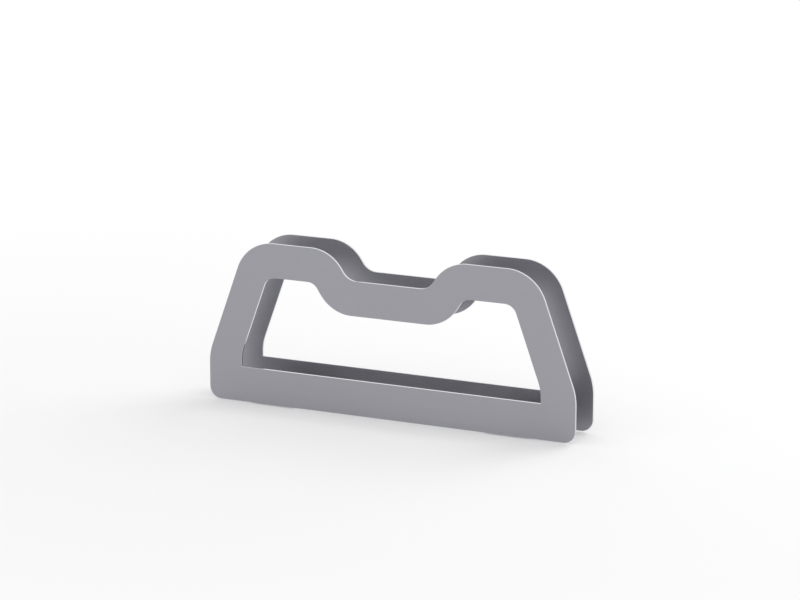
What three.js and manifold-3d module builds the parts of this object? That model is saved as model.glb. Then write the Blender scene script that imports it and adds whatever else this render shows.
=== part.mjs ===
// Bicycle rack that holds one wheel between two upright plates.
// Two identical cut plates stand parallel, and two folded floor brackets join them behind the bottom rails.
// Weld studs on the plates' inner faces pass through the brackets' flanges and take washers and nuts.
// Frame: X along the rack, Y across it, Z up. The origin is the middle of the footprint, on the floor.
// Lengths are in millimetres.

import * as THREE from 'three';
import { mergeVertices } from 'three/addons/utils/BufferGeometryUtils.js';
import Module from 'manifold-3d';

// Clear gap between the plates, where the wheel stands, and the plates' clearance above the floor.
const wheelGap = 76;
const floorClearance = 2;

// Plate: outer outline, the same to the left and right of the middle.
const plateLength = 700;
const plateHeight = 292;
const plateThickness = 4;
const edgeBreak = 0.3;
const footRadius = 22;
const kneeHeight = 83;
const kneeRadius = 100;
const shoulderInset = 76;
const shoulderRadius = 74;
const dipMouthLength = 220;
const dipMouthRadius = 70;
const dipSlopeRun = 33;
const dipDepth = 51.5;
const dipFloorRadius = 31;

// Plate: the bands of metal left between the outer outline and the window.
const railBand = 63.5;
const sideBand = 64;
const legBand = 58.5;
const topBand = 61.5;
const dipSlopeBand = 60.5;
const dipFloorBand = 62;
const windowKneeRadius = 80;
const windowShoulderRadius = 23;
const windowMouthRadius = 22;
const windowFloorRadius = 71;

// Floor bracket: a channel folded from plate, open at the top.
const bracketLength = 80;
const bracketInset = 85;
const bracketStepDown = 27;
const bracketThickness = 5;
const bracketBendRadius = 5;
const bracketCornerRadius = 8;
const anchorSlotWidth = 12;
const anchorSlotMargin = 10;

// Fasteners.
const studRadius = 4;
const studTipChamfer = 0.8;
const studProtrusion = 3;
const studMargin = 15;
const collarRadius = 5.2;
const collarLength = 1;
const washerRadius = 8;
const washerThickness = 1.6;
const nutWidth = 13;
const nutHeight = 6.5;
const nutChamferAngle = Math.PI / 6;

// Fits: the gap between seated faces, and the clearance round a shank or collar.
const seatGap = 0.3;
const boreClearance = 0.3;

// Faceting: how far a chord may stray from its arc, and how far a cutter runs past what it cuts.
const plateChordError = 0.04;
const smallChordError = 0.05;
const weldDistance = 0.0005;
const cutOverrun = 2;

// Worked out from the sizes above.
const halfLength = plateLength / 2;
const bracketWidth = wheelGap - 2 * seatGap;
const bracketHeight = floorClearance + railBand - bracketStepDown;
const bracketCentre = halfLength - bracketInset - bracketLength / 2;
const anchorSlotLength = (bracketLength - 3 * anchorSlotMargin) / 2;
const anchorSlotCentre = (anchorSlotMargin + anchorSlotLength) / 2;
const studOffset = bracketLength / 2 - studMargin;
const studHeight = (bracketThickness + bracketBendRadius + bracketHeight) / 2;
const washerSeat = seatGap + bracketThickness + seatGap;
const nutSeat = washerSeat + washerThickness + seatGap;
const studLength = nutSeat - seatGap + nutHeight + studProtrusion;

const brushedSteel = { color: 0x9b9ca1, roughness: 0.38, metalness: 0.85 };
const galvanisedSteel = { color: 0x8d9296, roughness: 0.55, metalness: 0.8 };
const stainlessSteel = { color: 0xb9babc, roughness: 0.3, metalness: 0.95 };

const wasm = await Module();
wasm.setup();

// Solids

// Turns a closed geometry into a solid that can be cut.
function toSolid(geometry) {
  const bare = geometry.clone();
  bare.deleteAttribute('normal');
  bare.deleteAttribute('uv');
  const welded = mergeVertices(bare, weldDistance);
  const corners = welded.index.array;
  const kept = [];
  for (let i = 0; i < corners.length; i += 3) {
    const [a, b, c] = corners.subarray(i, i + 3);
    if (a !== b && b !== c && c !== a) {
      kept.push(a, b, c);
    }
  }
  const mesh = new wasm.Mesh({
    numProp: 3,
    vertProperties: Float32Array.from(welded.attributes.position.array),
    triVerts: Uint32Array.from(kept),
  });
  return new wasm.Manifold(mesh);
}

function toGeometry(solid) {
  const mesh = solid.getMesh();
  const geometry = new THREE.BufferGeometry();
  geometry.setAttribute('position', new THREE.BufferAttribute(mesh.vertProperties, 3));
  geometry.setIndex(new THREE.BufferAttribute(mesh.triVerts, 1));
  geometry.computeVertexNormals();
  return geometry;
}

// Outlines

// The number of chords that keep within the error over an arc.
function chordCount(radius, angle, chordError) {
  const step = 2 * Math.acos(1 - chordError / Math.max(radius, chordError));
  return Math.max(1, Math.ceil(Math.abs(angle) / step));
}

function ringSides(radius) {
  return 4 * chordCount(radius, Math.PI / 2, smallChordError);
}

// How far a corner's arc reaches along each of its two edges, and the angle it turns through.
function cornerReach(before, corner, after) {
  const arriving = new THREE.Vector2(corner.x - before.x, corner.y - before.y).normalize();
  const leaving = new THREE.Vector2(after.x - corner.x, after.y - corner.y).normalize();
  const turn = Math.atan2(arriving.cross(leaving), arriving.dot(leaving));
  return { arriving, turn, reach: corner.radius * Math.tan(Math.abs(turn) / 2) };
}

// Rounds each corner { x, y, radius } of a closed outline. An arc is limited by its two edges.
function roundedOutline(corners, chordError) {
  const count = corners.length;
  const at = (i) => corners[(i + count) % count];
  const reaches = corners.map((corner, i) => cornerReach(at(i - 1), corner, at(i + 1)));
  const edgeLimits = corners.map((corner, i) => {
    const edge = Math.hypot(at(i + 1).x - corner.x, at(i + 1).y - corner.y);
    const wanted = reaches[i].reach + reaches[(i + 1) % count].reach;
    return wanted > edge ? edge / wanted : 1;
  });
  const points = [];
  corners.forEach((corner, i) => {
    const { arriving, turn, reach } = reaches[i];
    const limit = Math.min(edgeLimits[i], edgeLimits[(i + count - 1) % count]);
    const radius = corner.radius * limit;
    const side = Math.sign(turn);
    const start = new THREE.Vector2(corner.x, corner.y).addScaledVector(arriving, -reach * limit);
    const inward = new THREE.Vector2(-arriving.y, arriving.x).multiplyScalar(side);
    const centre = start.clone().addScaledVector(inward, radius);
    const chords = radius > 0 ? chordCount(radius, turn, chordError) : 0;
    for (let k = 0; k <= chords; k += 1) {
      const angle = chords > 0 ? (turn * k) / chords : 0;
      const point = start.clone().rotateAround(centre, angle);
      const last = points[points.length - 1];
      if (!last || last.distanceTo(point) > weldDistance) {
        points.push(point);
      }
    }
  });
  if (points[0].distanceTo(points[points.length - 1]) <= weldDistance) {
    points.pop();
  }
  return points;
}

// The line at a given distance inside the edge that runs from one corner to the next.
function insideLine(corner, next, distance) {
  const direction = new THREE.Vector2(next.x - corner.x, next.y - corner.y).normalize();
  const normal = new THREE.Vector2(-direction.y, direction.x);
  const point = new THREE.Vector2(corner.x, corner.y).addScaledVector(normal, distance);
  return { point, direction };
}

function meetingPoint(first, second) {
  const across = second.point.clone().sub(first.point);
  const along = across.cross(second.direction) / first.direction.cross(second.direction);
  return first.point.clone().addScaledVector(first.direction, along);
}

// The plate's corners, anticlockwise from the right foot. Each has the radius of its arc, the radius of
// the window's arc beside it, and the band of metal along the edge that leaves it.
function plateCorners() {
  const mouth = dipMouthLength / 2;
  const right = [
    { x: halfLength, y: 0, radius: footRadius, windowRadius: 0, band: sideBand },
    { x: halfLength, y: kneeHeight, radius: kneeRadius, windowRadius: windowKneeRadius, band: legBand },
    {
      x: halfLength - shoulderInset,
      y: plateHeight,
      radius: shoulderRadius,
      windowRadius: windowShoulderRadius,
      band: topBand,
    },
    { x: mouth, y: plateHeight, radius: dipMouthRadius, windowRadius: windowMouthRadius, band: dipSlopeBand },
    {
      x: mouth - dipSlopeRun,
      y: plateHeight - dipDepth,
      radius: dipFloorRadius,
      windowRadius: windowFloorRadius,
      band: dipFloorBand,
    },
  ];
  const left = right.map((corner, i) => ({
    ...corner,
    x: -corner.x,
    band: i > 0 ? right[i - 1].band : railBand,
  }));
  return [...right, ...left.reverse()];
}

function windowCorners(corners) {
  const count = corners.length;
  const lines = corners.map((corner, i) => insideLine(corner, corners[(i + 1) % count], corner.band));
  return corners.map((corner, i) => {
    const point = meetingPoint(lines[(i + count - 1) % count], lines[i]);
    return { x: point.x, y: point.y, radius: corner.windowRadius };
  });
}

// Pieces

// An outline drawn in X and Z, extruded along Y from 0 to -depth.
function standUp(geometry) {
  const basis = new THREE.Matrix4().makeBasis(
    new THREE.Vector3(1, 0, 0),
    new THREE.Vector3(0, 0, 1),
    new THREE.Vector3(0, -1, 0),
  );
  return geometry.applyMatrix4(basis);
}

// An outline drawn in Y and Z, extruded along X.
function runAlongX(geometry) {
  const basis = new THREE.Matrix4().makeBasis(
    new THREE.Vector3(0, 1, 0),
    new THREE.Vector3(0, 0, 1),
    new THREE.Vector3(1, 0, 0),
  );
  return geometry.applyMatrix4(basis);
}

function plateGeometry() {
  const corners = plateCorners();
  const shape = new THREE.Shape(roundedOutline(corners, plateChordError));
  shape.holes.push(new THREE.Path(roundedOutline(windowCorners(corners), plateChordError)));
  const geometry = new THREE.ExtrudeGeometry(shape, {
    depth: plateThickness - 2 * edgeBreak,
    bevelEnabled: true,
    bevelThickness: edgeBreak,
    bevelSize: edgeBreak,
    bevelOffset: -edgeBreak,
    bevelSegments: 1,
  });
  geometry.translate(0, 0, edgeBreak);
  return standUp(geometry);
}

function block(outline, depth) {
  return new THREE.ExtrudeGeometry(new THREE.Shape(outline), { depth, bevelEnabled: false });
}

// The folded channel, seen from its end, with its inner and outer bends.
function channelOutline() {
  const outer = bracketWidth / 2;
  const inner = outer - bracketThickness;
  const outerBend = bracketBendRadius + bracketThickness;
  return roundedOutline([
    { x: outer, y: 0, radius: outerBend },
    { x: outer, y: bracketHeight, radius: 0 },
    { x: inner, y: bracketHeight, radius: 0 },
    { x: inner, y: bracketThickness, radius: bracketBendRadius },
    { x: -inner, y: bracketThickness, radius: bracketBendRadius },
    { x: -inner, y: bracketHeight, radius: 0 },
    { x: -outer, y: bracketHeight, radius: 0 },
    { x: -outer, y: 0, radius: outerBend },
  ], smallChordError);
}

// The channel from the side: the flanges' upper corners are rounded.
function flangeOutline() {
  const end = bracketLength / 2;
  return roundedOutline([
    { x: end, y: 0, radius: 0 },
    { x: end, y: bracketHeight, radius: bracketCornerRadius },
    { x: -end, y: bracketHeight, radius: bracketCornerRadius },
    { x: -end, y: 0, radius: 0 },
  ], smallChordError);
}

function slotOutline() {
  const x = anchorSlotLength / 2;
  const y = anchorSlotWidth / 2;
  return roundedOutline([
    { x, y: -y, radius: y },
    { x, y, radius: y },
    { x: -x, y, radius: y },
    { x: -x, y: -y, radius: y },
  ], smallChordError);
}

function bracketGeometry() {
  const channel = block(channelOutline(), bracketLength).translate(0, 0, -bracketLength / 2);
  const cutDepth = bracketWidth + 2 * cutOverrun;
  const profile = standUp(block(flangeOutline(), cutDepth)).translate(0, cutDepth / 2, 0);
  let bracket = toSolid(runAlongX(channel)).intersect(toSolid(profile));
  for (const side of [-1, 1]) {
    const slot = block(slotOutline(), bracketThickness + 2 * cutOverrun);
    slot.translate(side * anchorSlotCentre, 0, -cutOverrun);
    bracket = bracket.subtract(toSolid(slot));
    const holeRadius = collarRadius + boreClearance;
    const hole = new THREE.CylinderGeometry(holeRadius, holeRadius, cutDepth, ringSides(holeRadius));
    hole.translate(side * studOffset, 0, studHeight);
    bracket = bracket.subtract(toSolid(hole));
  }
  return toGeometry(bracket);
}

// Turned pieces stand on y = 0 and rise along +Y.
function turned(profile, radius) {
  return new THREE.LatheGeometry(profile.map(([x, y]) => new THREE.Vector2(x, y)), ringSides(radius));
}

function studGeometry() {
  return turned([
    [0, 0],
    [collarRadius, 0],
    [collarRadius, collarLength],
    [studRadius, collarLength],
    [studRadius, studLength - studTipChamfer],
    [studRadius - studTipChamfer, studLength],
    [0, studLength],
  ], collarRadius);
}

function washerGeometry() {
  const bore = studRadius + boreClearance;
  return turned([
    [bore, 0],
    [washerRadius, 0],
    [washerRadius, washerThickness],
    [bore, washerThickness],
    [bore, 0],
  ], washerRadius);
}

// A hexagonal nut. Cones at both faces take the corners off.
function nutGeometry() {
  const face = nutWidth / 2;
  const corner = face / Math.cos(Math.PI / 6);
  const chamfer = (corner - face) * Math.tan(nutChamferAngle);
  const bore = studRadius + boreClearance;
  const cones = turned([
    [0, 0],
    [face, 0],
    [corner, chamfer],
    [corner, nutHeight - chamfer],
    [face, nutHeight],
    [0, nutHeight],
  ], corner);
  const hexagon = new THREE.CylinderGeometry(corner, corner, nutHeight, 6).translate(0, nutHeight / 2, 0);
  const hole = new THREE.CylinderGeometry(bore, bore, nutHeight + 2 * cutOverrun, ringSides(bore));
  hole.translate(0, nutHeight / 2, 0);
  return toGeometry(toSolid(hexagon).intersect(toSolid(cones)).subtract(toSolid(hole)));
}

// Assembly

const rack = new THREE.Group();

function addPiece(parent, name, geometry, finish) {
  const mesh = new THREE.Mesh(geometry, new THREE.MeshStandardMaterial(finish));
  mesh.name = name;
  parent.add(mesh);
  return mesh;
}

const plate = plateGeometry();
const bracket = bracketGeometry();
const stud = studGeometry();
const washer = washerGeometry();
const nut = nutGeometry();

// The brackets stand on the floor, and hold the plates just clear of it.
const frontPlate = addPiece(rack, 'front_plate', plate, brushedSteel);
frontPlate.position.set(0, -wheelGap / 2, floorClearance);
const rearPlate = addPiece(rack, 'rear_plate', plate, brushedSteel);
rearPlate.position.set(0, wheelGap / 2 + plateThickness, floorClearance);
addPiece(rack, 'left_floor_bracket', bracket, galvanisedSteel).position.x = -bracketCentre;
addPiece(rack, 'right_floor_bracket', bracket, galvanisedSteel).position.x = bracketCentre;

// Each stud stands on a plate's inner face, and its washer and nut clamp the bracket's flange.
const studPlaces = [-bracketCentre, bracketCentre].flatMap((x) => [x - studOffset, x + studOffset]);

function addFasteners(plateName, turn, y) {
  studPlaces.forEach((x, i) => {
    const stack = new THREE.Group();
    stack.position.set(x, y, studHeight);
    stack.rotation.x = turn;
    addPiece(stack, `weld_stud_${plateName}_${i + 1}`, stud, stainlessSteel).position.y = seatGap;
    addPiece(stack, `washer_${plateName}_${i + 1}`, washer, stainlessSteel).position.y = washerSeat;
    addPiece(stack, `nut_${plateName}_${i + 1}`, nut, stainlessSteel).position.y = nutSeat;
    rack.add(stack);
  });
}

addFasteners('front', 0, -wheelGap / 2);
addFasteners('rear', Math.PI, wheelGap / 2);

export default rack;
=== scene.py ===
# Looks of a bicycle rack that holds one wheel between two upright plates.
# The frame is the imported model's: metres, X along the rack, Y from the front plate to the rear one, Z up.

import math

import bmesh
import bpy
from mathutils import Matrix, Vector


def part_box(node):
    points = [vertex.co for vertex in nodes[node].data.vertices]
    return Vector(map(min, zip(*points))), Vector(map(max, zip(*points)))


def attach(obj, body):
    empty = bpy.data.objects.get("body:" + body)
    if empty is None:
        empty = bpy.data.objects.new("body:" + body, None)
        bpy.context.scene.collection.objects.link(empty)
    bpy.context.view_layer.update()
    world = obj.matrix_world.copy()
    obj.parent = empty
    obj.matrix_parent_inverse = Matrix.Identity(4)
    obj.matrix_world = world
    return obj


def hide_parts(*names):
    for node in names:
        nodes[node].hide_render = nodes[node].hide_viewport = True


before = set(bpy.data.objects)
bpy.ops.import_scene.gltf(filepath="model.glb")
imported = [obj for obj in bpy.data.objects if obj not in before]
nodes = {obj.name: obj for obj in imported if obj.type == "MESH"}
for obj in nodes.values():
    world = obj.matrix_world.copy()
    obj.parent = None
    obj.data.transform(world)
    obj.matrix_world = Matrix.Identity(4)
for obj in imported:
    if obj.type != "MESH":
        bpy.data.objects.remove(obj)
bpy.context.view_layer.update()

MM = 0.001

# Camera, fitted to the plates' outlines in the photograph.
CAMERA_AZIMUTH = 25.214
CAMERA_ELEVATION = 13.807
CAMERA_DISTANCE = 5.3354
CAMERA_TARGET_X = 0.0232
CAMERA_TARGET_Z = 0.2189
CAMERA_LENS = 140
CAMERA_SENSOR = 36

# Plate finish. Cells are counted per metre along X, Y and Z, and shares add up to 1.
# A spread is the range of a noise over which a finish changes.
# A surface turned towards Y by less than EDGE_FACING is a cut edge, and by more than FACE_FACING a face.
FACE_LIGHT = (0.384, 0.382, 0.416, 1)
FACE_DARK = (0.364, 0.362, 0.396, 1)
FACE_SPREAD = (0.35, 0.65)
ROUGHNESS_SPREAD = (0.30, 0.70)
FACE_ROUGHNESS = (0.38, 0.48)
# Cut edges are brighter than the faces, and their colour is lightened further as a painted highlight.
EDGE_AND_HIGHLIGHT_LIGHT = (0.83, 0.83, 0.85, 1)
EDGE_AND_HIGHLIGHT_DARK = (0.70, 0.70, 0.72, 1)
EDGE_ROUGHNESS = (0.16, 0.28)
EDGE_FACING = 0.80
FACE_FACING = 0.95
GRAIN_CELLS = (40, 3500, 3500)
GRAIN_SHARE = 0.35
STREAK_CELLS = (5, 420, 420)
STREAK_SHARE = 0.35
CLOUD_CELLS = (7, 7, 7)
CLOUD_SHARE = 0.3
CUT_CELLS = (2600, 50, 2600)
PLATE_BUMP = 0.15
PLATE_BUMP_HEIGHT = 0.02 * MM

# Bracket finish: zinc crystals with wavy borders, and stains.
ZINC_LIGHT = (0.58, 0.60, 0.62, 1)
ZINC_DARK = (0.36, 0.37, 0.39, 1)
ZINC_SPREAD = (0.2, 0.8)
ZINC_ROUGHNESS = (0.34, 0.52)
CRYSTAL_CELLS = 130
CRYSTAL_SHARE = 0.6
BORDER_WAVE_CELLS = 160
BORDER_WAVE = (4 * MM, 4 * MM, 4 * MM)
ZINC_STAIN_CELLS = (25, 25, 25)
ZINC_STAIN_SHARE = 0.4
ZINC_GRAIN_CELLS = (1800, 1800, 1800)
ZINC_BUMP = 0.25
ZINC_BUMP_HEIGHT = 0.02 * MM
BRACKET_ROUNDING = 0.4 * MM

# Fastener finish: turning marks and stains.
TURNED_LIGHT = (0.76, 0.76, 0.77, 1)
TURNED_DARK = (0.56, 0.56, 0.57, 1)
TURNED_SPREAD = (0.25, 0.75)
TURNED_ROUGHNESS = (0.18, 0.32)
TURNED_GRAIN_CELLS = (1500, 5000, 1500)
TURNED_GRAIN_SHARE = 0.6
TURNED_STAIN_CELLS = (90, 90, 90)
TURNED_STAIN_SHARE = 0.4
TURNED_BUMP = 0.2
TURNED_BUMP_HEIGHT = 0.01 * MM

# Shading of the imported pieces
WELD_DISTANCE = 0.001 * MM
SMOOTH_LIMIT = math.radians(30)
FLAT_LIMIT = math.radians(0.5)
ROUNDED_LIMIT = math.radians(40)
ROUNDING_SEGMENTS = 2

# Light
WHITE = (1, 1, 1, 1)
WORLD_FILL = 0.89
KEY_POWER = 45
KEY_SIZE = 3.2
KEY_PLACE = (1.5, 2.6, 2.6)

# Fasteners: an M8 thread, and how round the turned pieces are.
THREAD_RADIUS = 4 * MM
THREAD_PITCH = 1.25 * MM
THREAD_DEPTH = 0.65 * MM
THREAD_CREST = 0.16 * MM
THREAD_HALF_ANGLE = math.radians(30)
THREAD_FLANK = THREAD_DEPTH * math.tan(THREAD_HALF_ANGLE)
COLLAR_LENGTH = 1 * MM
COLLAR_ROUNDING = 0.2 * MM
NECK_LENGTH = 0.5 * MM
TIP_CHAMFER = 0.8 * MM
NUT_FACE_RADIUS = 6.2 * MM
NUT_CHAMFER_ANGLE = math.radians(32)
NUT_BORE_PLAY = 0.03 * MM
NUT_COUNTERSINK = 0.5 * MM
WASHER_BORE_RADIUS = 4.3 * MM
WASHER_ROUNDING = 0.3 * MM
WASHER_ROUNDING_STEPS = (math.radians(30), math.radians(60))
WASHER_BREAK = 0.1 * MM
ROUND_SIDES = 36

# Floor
FLOOR_HALF_WIDTH = 30
FLOOR_DROP = 0.2 * MM
FLOOR_COLOUR = (0.92, 0.92, 0.925, 1)
FLOOR_NEAR = 0.5
FLOOR_FAR = 2.0
FLOOR_NEAR_GLOW = 0.2


# Node trees

def add_node(tree, kind, inputs=None, **settings):
    """Adds a node. Each input is given a value, or another node's output to link."""
    made = tree.nodes.new(kind)
    for name, value in settings.items():
        setattr(made, name, value)
    for key, value in (inputs or {}).items():
        if isinstance(value, bpy.types.NodeSocket):
            tree.links.new(value, made.inputs[key])
        else:
            made.inputs[key].default_value = value
    return made


def math_node(tree, operation, first, second=0.0, third=0.0, clamp=False):
    inputs = {0: first, 1: second, 2: third}
    made = add_node(tree, "ShaderNodeMath", inputs, operation=operation, use_clamp=clamp)
    return made.outputs[0]


def remap(tree, value, low, high, to_low, to_high):
    made = add_node(
        tree,
        "ShaderNodeMapRange",
        {"Value": value, "From Min": low, "From Max": high, "To Min": to_low, "To Max": to_high},
        interpolation_type="SMOOTHSTEP",
    )
    return made.outputs["Result"]


def noise(tree, cells, detail=2.0, roughness=0.5):
    """Noise with its own number of cells per metre along X, Y and Z, from 0 to 1."""
    place = add_node(tree, "ShaderNodeTexCoord").outputs["Object"]
    stretched = add_node(tree, "ShaderNodeMapping", {"Vector": place, "Scale": cells}).outputs["Vector"]
    made = add_node(
        tree,
        "ShaderNodeTexNoise",
        {"Vector": stretched, "Scale": 1.0, "Detail": detail, "Roughness": roughness},
    )
    return made.outputs["Fac"]


def mix_colours(tree, share, first, second):
    made = add_node(
        tree, "ShaderNodeMix", {"Factor": share, "A": first, "B": second}, data_type="RGBA",
    )
    return made.outputs["Result"]


def mix_numbers(tree, share, first, second):
    made = add_node(tree, "ShaderNodeMix", {0: share, 2: first, 3: second}, data_type="FLOAT")
    return made.outputs[0]


def new_metal(name):
    """An empty material with a metal shader. Returns the material, its tree and the shader."""
    material = bpy.data.materials.new(name)
    material.use_nodes = True
    tree = material.node_tree
    tree.nodes.clear()
    shader = add_node(tree, "ShaderNodeBsdfPrincipled", {"Metallic": 1.0})
    output = add_node(tree, "ShaderNodeOutputMaterial")
    tree.links.new(shader.outputs[0], output.inputs["Surface"])
    return material, tree, shader


def roughen(tree, shader, height, strength, distance):
    """Gives a shader fine bumps."""
    bump = add_node(tree, "ShaderNodeBump", {"Strength": strength, "Distance": distance, "Height": height})
    tree.links.new(bump.outputs["Normal"], shader.inputs["Normal"])


# Materials

def plate_steel():
    """Satin faces brushed along X, and bright cut edges with fine marks across the thickness, their colour
    lightened past the steel's own as a painted highlight.
    """
    material, tree, shader = new_metal("plate_steel")
    geometry = add_node(tree, "ShaderNodeNewGeometry")
    axes = add_node(tree, "ShaderNodeSeparateXYZ", {0: geometry.outputs["True Normal"]})
    facing = math_node(tree, "ABSOLUTE", axes.outputs["Y"])
    is_edge = remap(tree, facing, EDGE_FACING, FACE_FACING, 1.0, 0.0)

    grain = noise(tree, GRAIN_CELLS, detail=3.0, roughness=0.6)
    streaks = noise(tree, STREAK_CELLS)
    clouds = noise(tree, CLOUD_CELLS, detail=3.0)
    cuts = noise(tree, CUT_CELLS)

    tone = math_node(tree, "MULTIPLY", streaks, STREAK_SHARE)
    tone = math_node(tree, "MULTIPLY_ADD", grain, GRAIN_SHARE, tone)
    tone = math_node(tree, "MULTIPLY_ADD", clouds, CLOUD_SHARE, tone)
    face = mix_colours(tree, remap(tree, tone, *FACE_SPREAD, 0.0, 1.0), FACE_DARK, FACE_LIGHT)
    # The cut edges' colour: partly the steel's own, partly a painted highlight.
    edge_and_highlight = mix_colours(tree, cuts, EDGE_AND_HIGHLIGHT_DARK, EDGE_AND_HIGHLIGHT_LIGHT)
    tree.links.new(mix_colours(tree, is_edge, face, edge_and_highlight), shader.inputs["Base Color"])

    face_roughness = remap(tree, tone, *ROUGHNESS_SPREAD, *FACE_ROUGHNESS)
    edge_roughness = remap(tree, cuts, *ROUGHNESS_SPREAD, *EDGE_ROUGHNESS)
    tree.links.new(mix_numbers(tree, is_edge, face_roughness, edge_roughness), shader.inputs["Roughness"])

    height = mix_numbers(tree, is_edge, grain, cuts)
    roughen(tree, shader, height, PLATE_BUMP, PLATE_BUMP_HEIGHT)
    return material


def bracket_steel():
    """Hot-dip galvanised steel with the faint crystals of its zinc."""
    material, tree, shader = new_metal("bracket_steel")
    place = add_node(tree, "ShaderNodeTexCoord").outputs["Object"]
    wave = add_node(tree, "ShaderNodeTexNoise", {"Vector": place, "Scale": BORDER_WAVE_CELLS, "Detail": 2.0})
    shifted = add_node(
        tree,
        "ShaderNodeVectorMath",
        {0: wave.outputs["Color"], 1: BORDER_WAVE, 2: place},
        operation="MULTIPLY_ADD",
    )
    crystals = add_node(tree, "ShaderNodeTexVoronoi", {"Vector": shifted.outputs[0], "Scale": CRYSTAL_CELLS})
    level = add_node(tree, "ShaderNodeSeparateColor", {0: crystals.outputs["Color"]}).outputs[0]
    stain = noise(tree, ZINC_STAIN_CELLS, detail=4.0)

    tone = math_node(tree, "MULTIPLY", stain, ZINC_STAIN_SHARE)
    tone = math_node(tree, "MULTIPLY_ADD", level, CRYSTAL_SHARE, tone)
    tree.links.new(mix_colours(tree, tone, ZINC_DARK, ZINC_LIGHT), shader.inputs["Base Color"])
    tree.links.new(remap(tree, tone, *ZINC_SPREAD, *ZINC_ROUGHNESS), shader.inputs["Roughness"])
    roughen(tree, shader, noise(tree, ZINC_GRAIN_CELLS), ZINC_BUMP, ZINC_BUMP_HEIGHT)
    return material


def fastener_steel():
    """Turned stainless steel."""
    material, tree, shader = new_metal("fastener_steel")
    grain = noise(tree, TURNED_GRAIN_CELLS)
    stain = noise(tree, TURNED_STAIN_CELLS)

    tone = math_node(tree, "MULTIPLY", stain, TURNED_STAIN_SHARE)
    tone = math_node(tree, "MULTIPLY_ADD", grain, TURNED_GRAIN_SHARE, tone)
    tree.links.new(mix_colours(tree, tone, TURNED_DARK, TURNED_LIGHT), shader.inputs["Base Color"])
    tree.links.new(remap(tree, tone, *TURNED_SPREAD, *TURNED_ROUGHNESS), shader.inputs["Roughness"])
    roughen(tree, shader, grain, TURNED_BUMP, TURNED_BUMP_HEIGHT)
    return material


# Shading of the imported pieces

def smoothing_group():
    """Smooths each surface across its facets, and keeps the edges sharper than the limit."""
    tree = bpy.data.node_groups.new("smooth_by_angle", "GeometryNodeTree")
    tree.interface.new_socket("Geometry", in_out="INPUT", socket_type="NodeSocketGeometry")
    tree.interface.new_socket("Geometry", in_out="OUTPUT", socket_type="NodeSocketGeometry")
    start = add_node(tree, "NodeGroupInput").outputs[0]
    smooth = add_node(tree, "GeometryNodeSetShadeSmooth", {"Geometry": start}, domain="FACE")
    angle = add_node(tree, "GeometryNodeInputMeshEdgeAngle").outputs["Unsigned Angle"]
    sharp = math_node(tree, "GREATER_THAN", angle, SMOOTH_LIMIT)
    edges = add_node(
        tree,
        "GeometryNodeSetShadeSmooth",
        {"Geometry": smooth.outputs[0], "Selection": sharp, "Shade Smooth": False},
        domain="EDGE",
    )
    end = add_node(tree, "NodeGroupOutput")
    tree.links.new(edges.outputs[0], end.inputs[0])
    return tree


def dress(piece, material, smoothing, rounding=0.0):
    """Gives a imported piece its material, smooth curves and, where asked, rounded edges between flat faces."""
    piece.data.materials.clear()
    piece.data.materials.append(material)
    weld = piece.modifiers.new("weld", "WELD")
    weld.merge_threshold = WELD_DISTANCE
    if rounding:
        flat = piece.modifiers.new("flat", "DECIMATE")
        flat.decimate_type = "DISSOLVE"
        flat.angle_limit = FLAT_LIMIT
        bevel = piece.modifiers.new("rounding", "BEVEL")
        bevel.width = rounding
        bevel.segments = ROUNDING_SEGMENTS
        bevel.limit_method = "ANGLE"
        bevel.angle_limit = ROUNDED_LIMIT
    piece.modifiers.new("smooth", "NODES").node_group = smoothing
    if rounding:
        normals = piece.modifiers.new("normals", "WEIGHTED_NORMAL")
        normals.keep_sharp = True


# Fasteners, made round the Y axis from y = 0 upwards

def turned_row(radius_at, height_at):
    """Points once round the axis. The radius and the height may change with the turn, from 0 to 1."""
    row = []
    for i in range(ROUND_SIDES + 1):
        turn = i / ROUND_SIDES
        angle = math.tau * turn
        radius = radius_at(turn)
        row.append((radius * math.cos(angle), height_at(turn), radius * math.sin(angle)))
    return row


def level_row(radius, height):
    return turned_row(lambda turn: radius, lambda turn: height)


def skin(name, rows):
    """A mesh over rows of points. Points that meet become one."""
    shape = bmesh.new()
    grid = [[shape.verts.new(point) for point in row] for row in rows]
    for lower, upper in zip(grid, grid[1:]):
        for i in range(len(lower) - 1):
            shape.faces.new((lower[i], lower[i + 1], upper[i + 1], upper[i]))
    bmesh.ops.remove_doubles(shape, verts=shape.verts, dist=WELD_DISTANCE)
    bmesh.ops.recalc_face_normals(shape, faces=shape.faces)
    mesh = bpy.data.meshes.new(name)
    shape.to_mesh(mesh)
    shape.free()
    return mesh


def thread_rows(start, end):
    """A helical thread. It runs out at its start and is chamfered at its end."""
    root = THREAD_RADIUS - THREAD_DEPTH
    tip = THREAD_RADIUS - TIP_CHAMFER
    groove = THREAD_PITCH - THREAD_CREST - 2 * THREAD_FLANK
    profile = (
        (0, root),
        (groove, root),
        (groove + THREAD_FLANK, THREAD_RADIUS),
        (groove + THREAD_FLANK + THREAD_CREST, THREAD_RADIUS),
    )
    rows = []
    for lap in range(-1, math.ceil((end - start) / THREAD_PITCH) + 1):
        for offset, radius in profile:
            def height_at(turn, rise=offset + start + lap * THREAD_PITCH):
                return min(max(rise + turn * THREAD_PITCH, start), end)

            def radius_at(turn, full=radius, height_at=height_at):
                height = height_at(turn)
                return min(full, root + height - start, tip + end - height)

            rows.append(turned_row(radius_at, height_at))
    return rows


def stud_mesh(length, collar_radius):
    """A weld stud: a collar with a rounded rim, a neck, and a thread."""
    root = THREAD_RADIUS - THREAD_DEPTH
    rows = [
        level_row(0, 0),
        level_row(collar_radius, 0),
        level_row(collar_radius, COLLAR_LENGTH - COLLAR_ROUNDING),
        level_row(collar_radius - COLLAR_ROUNDING, COLLAR_LENGTH),
        level_row(root, COLLAR_LENGTH),
    ]
    rows += thread_rows(COLLAR_LENGTH + NECK_LENGTH, length)
    rows.append(level_row(0, length))
    return skin("threaded_stud", rows)


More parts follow.
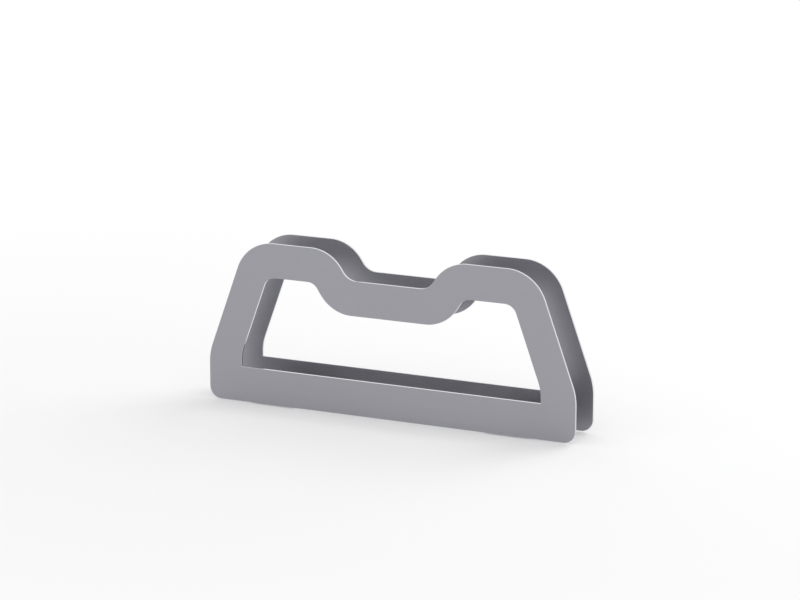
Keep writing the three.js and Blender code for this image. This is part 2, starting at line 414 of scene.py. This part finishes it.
def washer_mesh(thickness, radius):
    """A stamped washer: rounded where the punch went in, and sharper on the other face."""
    bore = WASHER_BORE_RADIUS
    rows = [
        level_row(bore, WASHER_BREAK),
        level_row(bore + WASHER_BREAK, 0),
        level_row(radius - WASHER_BREAK, 0),
        level_row(radius, WASHER_BREAK),
        level_row(radius, thickness - WASHER_ROUNDING),
    ]
    for angle in WASHER_ROUNDING_STEPS:
        rows.append(level_row(
            radius - WASHER_ROUNDING * (1 - math.cos(angle)),
            thickness - WASHER_ROUNDING * (1 - math.sin(angle)),
        ))
    rows += [
        level_row(radius - WASHER_ROUNDING, thickness),
        level_row(bore + WASHER_BREAK, thickness),
        level_row(bore, thickness - WASHER_BREAK),
    ]
    return skin("stamped_washer", rows + rows[:1])


def nut_mesh(height, width):
    """A nut with flats towards +X and -X. Its corners are turned off, and its bore is countersunk."""
    sixth = 1 / 6

    def side(turn):
        from_middle = (turn + sixth / 2) % sixth - sixth / 2
        return width / 2 / math.cos(math.tau * from_middle)

    def chamfer(turn):
        return (side(turn) - NUT_FACE_RADIUS) * math.tan(NUT_CHAMFER_ANGLE)

    bore = THREAD_RADIUS + NUT_BORE_PLAY
    sink = bore + NUT_COUNTERSINK
    rows = [
        level_row(bore, NUT_COUNTERSINK),
        level_row(sink, 0),
        level_row(NUT_FACE_RADIUS, 0),
        turned_row(side, chamfer),
        turned_row(side, lambda turn: height - chamfer(turn)),
        level_row(NUT_FACE_RADIUS, height),
        level_row(sink, height),
        level_row(bore, height - NUT_COUNTERSINK),
    ]
    return skin("hexagonal_nut", rows + rows[:1])


def fit_fasteners(material, smoothing):
    """Puts a detailed piece in the place of each packed stud, washer and nut."""
    makers = {"weld_stud": stud_mesh, "washer": washer_mesh, "nut": nut_mesh}
    for kind, make in makers.items():
        low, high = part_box(f"{kind}_front_1")
        reach = high - low
        mesh = make(reach.y, reach.x if kind == "nut" else reach.x / 2)
        mesh.materials.append(material)
        for node in [name for name in nodes if name.startswith(kind)]:
            piece = bpy.data.objects.new(f"{mesh.name}_{node}", mesh)
            low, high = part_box(node)
            middle = (low + high) / 2
            if "front" in node:
                piece.location = (middle.x, low.y, middle.z)
            else:
                piece.location = (middle.x, high.y, middle.z)
                piece.rotation_euler.x = math.pi
            bpy.context.scene.collection.objects.link(piece)
            piece.modifiers.new("smooth", "NODES").node_group = smoothing
            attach(piece, "root")
            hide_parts(node)


# Stage

def backdrop_share(tree):
    """1 for rays that show the backdrop: seen directly, mirrored or through glass."""
    path = add_node(tree, "ShaderNodeLightPath")
    seen = math_node(tree, "ADD", path.outputs["Is Camera Ray"], path.outputs["Is Glossy Ray"])
    return math_node(tree, "ADD", seen, path.outputs["Is Transmission Ray"], clamp=True)


def make_floor():
    mesh = bpy.data.meshes.new("floor")
    half = FLOOR_HALF_WIDTH
    corners = [(x, y, -FLOOR_DROP) for x, y in ((-half, -half), (half, -half), (half, half), (-half, half))]
    mesh.from_pydata(corners, [], [(0, 1, 2, 3)])
    floor = bpy.data.objects.new("floor", mesh)
    bpy.context.scene.collection.objects.link(floor)

    material = bpy.data.materials.new("floor")
    material.use_nodes = True
    tree = material.node_tree
    tree.nodes.clear()
    diffuse = add_node(tree, "ShaderNodeBsdfDiffuse", {"Color": FLOOR_COLOUR})
    glow = add_node(tree, "ShaderNodeEmission", {"Color": WHITE, "Strength": 1.0})
    place = add_node(tree, "ShaderNodeTexCoord").outputs["Object"]
    away = add_node(tree, "ShaderNodeVectorMath", {0: place}, operation="LENGTH").outputs["Value"]
    share = remap(tree, away, FLOOR_NEAR, FLOOR_FAR, FLOOR_NEAR_GLOW, 1.0)
    share = math_node(tree, "MULTIPLY", share, backdrop_share(tree))
    mixed = add_node(tree, "ShaderNodeMixShader", {0: share, 1: diffuse.outputs[0], 2: glow.outputs[0]})
    output = add_node(tree, "ShaderNodeOutputMaterial")
    tree.links.new(mixed.outputs[0], output.inputs["Surface"])
    mesh.materials.append(material)


def make_world():
    world = bpy.data.worlds.new("studio")
    world.use_nodes = True
    tree = world.node_tree
    tree.nodes.clear()
    strength = mix_numbers(tree, backdrop_share(tree), WORLD_FILL, 1.0)
    background = add_node(tree, "ShaderNodeBackground", {"Color": WHITE, "Strength": strength})
    output = add_node(tree, "ShaderNodeOutputWorld")
    tree.links.new(background.outputs[0], output.inputs["Surface"])
    bpy.context.scene.world = world


def make_key_light():
    """A soft key from the right rear. It shapes the shadow, and the metal mirrors only the backdrop."""
    light = bpy.data.lights.new("key", "AREA")
    light.shape = "DISK"
    light.size = KEY_SIZE
    light.energy = KEY_POWER
    key = bpy.data.objects.new("key", light)
    key.visible_glossy = False
    key.location = KEY_PLACE
    key.rotation_mode = "QUATERNION"
    key.rotation_quaternion = (-Vector(KEY_PLACE)).to_track_quat("-Z", "Y")
    bpy.context.scene.collection.objects.link(key)


def make_camera():
    azimuth = math.radians(CAMERA_AZIMUTH)
    elevation = math.radians(CAMERA_ELEVATION)
    back = Vector((
        math.sin(azimuth) * math.cos(elevation),
        -math.cos(azimuth) * math.cos(elevation),
        math.sin(elevation),
    ))
    front_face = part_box("front_plate")[0].y
    data = bpy.data.cameras.new("camera")
    data.sensor_width = CAMERA_SENSOR
    data.lens = CAMERA_LENS
    camera = bpy.data.objects.new("camera", data)
    camera.location = Vector((CAMERA_TARGET_X, front_face, CAMERA_TARGET_Z)) + back * CAMERA_DISTANCE
    camera.rotation_mode = "QUATERNION"
    camera.rotation_quaternion = (-back).to_track_quat("-Z", "Y")
    bpy.context.scene.collection.objects.link(camera)
    bpy.context.scene.camera = camera


# Scene

make_camera()
make_world()
make_key_light()
make_floor()

smoothing = smoothing_group()
plate_material = plate_steel()
bracket_material = bracket_steel()
fastener_material = fastener_steel()
for name, piece in nodes.items():
    if name.endswith("plate"):
        dress(piece, plate_material, smoothing)
    elif name.endswith("bracket"):
        dress(piece, bracket_material, smoothing, rounding=BRACKET_ROUNDING)
    else:
        dress(piece, fastener_material, smoothing)
fit_fasteners(fastener_material, smoothing)

scene = bpy.context.scene
scene.view_settings.view_transform = "Standard"
